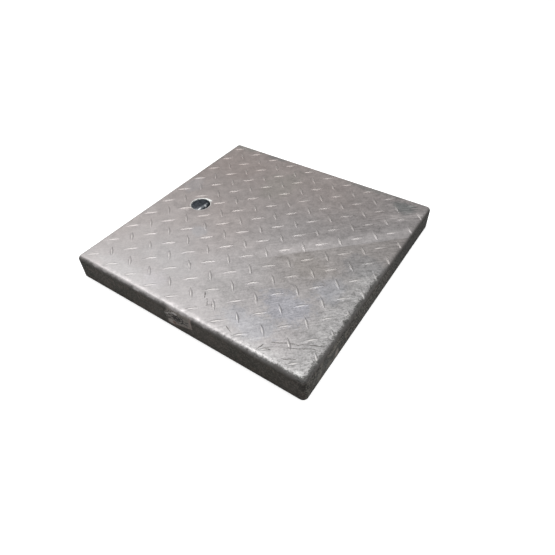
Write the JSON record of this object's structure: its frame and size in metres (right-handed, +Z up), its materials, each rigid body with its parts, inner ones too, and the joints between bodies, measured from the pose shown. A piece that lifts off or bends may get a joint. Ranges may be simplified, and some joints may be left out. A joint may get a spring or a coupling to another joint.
{
  "type": "access cover",
  "caption": "Square galvanised tread-plate access cover with turned-down sides and a round recessed lifting point near one edge.",
  "frame": {"origin": "middle of the plane of the rim that the cover rests on", "axes": "+Z up through the tread face, -X towards the side that the lifting hole is near, +Y along that side"},
  "size_m": [0.5, 0.5, 0.0499],
  "materials": {
    "galvanised_sheet": "hot-dip galvanised steel tread plate, weathered to an uneven grey",
    "dark_cup": "drawn steel, dark and smooth",
    "bright_bar": "bright zinc-plated round steel bar"
  },
  "bodies": {
    "root": {"cover_plate": "galvanised_sheet", "lifting_cup": "dark_cup", "lifting_bar": "bright_bar"}
  },
  "joints": []
}
